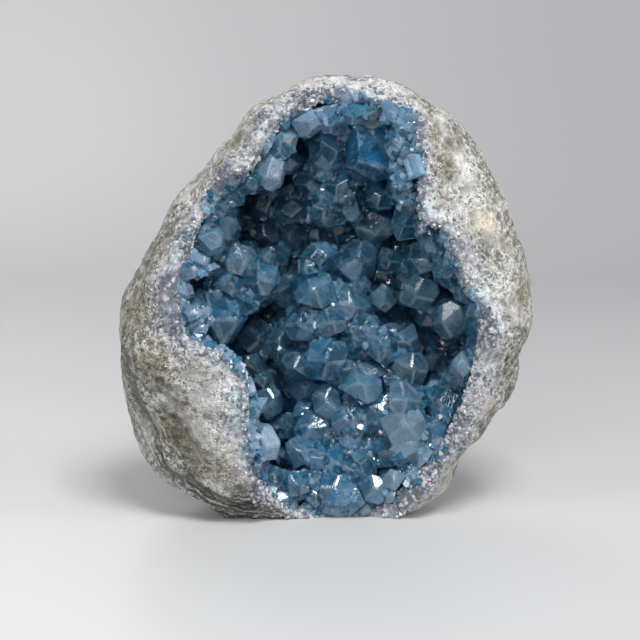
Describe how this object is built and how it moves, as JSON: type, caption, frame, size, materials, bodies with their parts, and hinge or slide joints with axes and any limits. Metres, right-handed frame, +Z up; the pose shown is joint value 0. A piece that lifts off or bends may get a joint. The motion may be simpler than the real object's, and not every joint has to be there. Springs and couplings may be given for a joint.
{
  "type": "celestite geode",
  "caption": "Rounded stone nodule broken open at the front, its hollow lined with one crust of clear blue celestite crystals, resting on a small flat base.",
  "frame": {"origin": "under the middle of the whole, on the surface that it rests on", "axes": "+Z up, -Y out of the window, +X to the right seen from the window side"},
  "size_m": [0.1685, 0.0986, 0.1758],
  "materials": {
    "stone": "rough weathered limestone rind, grey-beige, sugary grain with olive stains",
    "celestite": "clear grey-blue crystal with polished faces, IOR 1.62"
  },
  "bodies": {
    "root": {"rind": "stone", "crystal_crust": "celestite"}
  },
  "joints": []
}
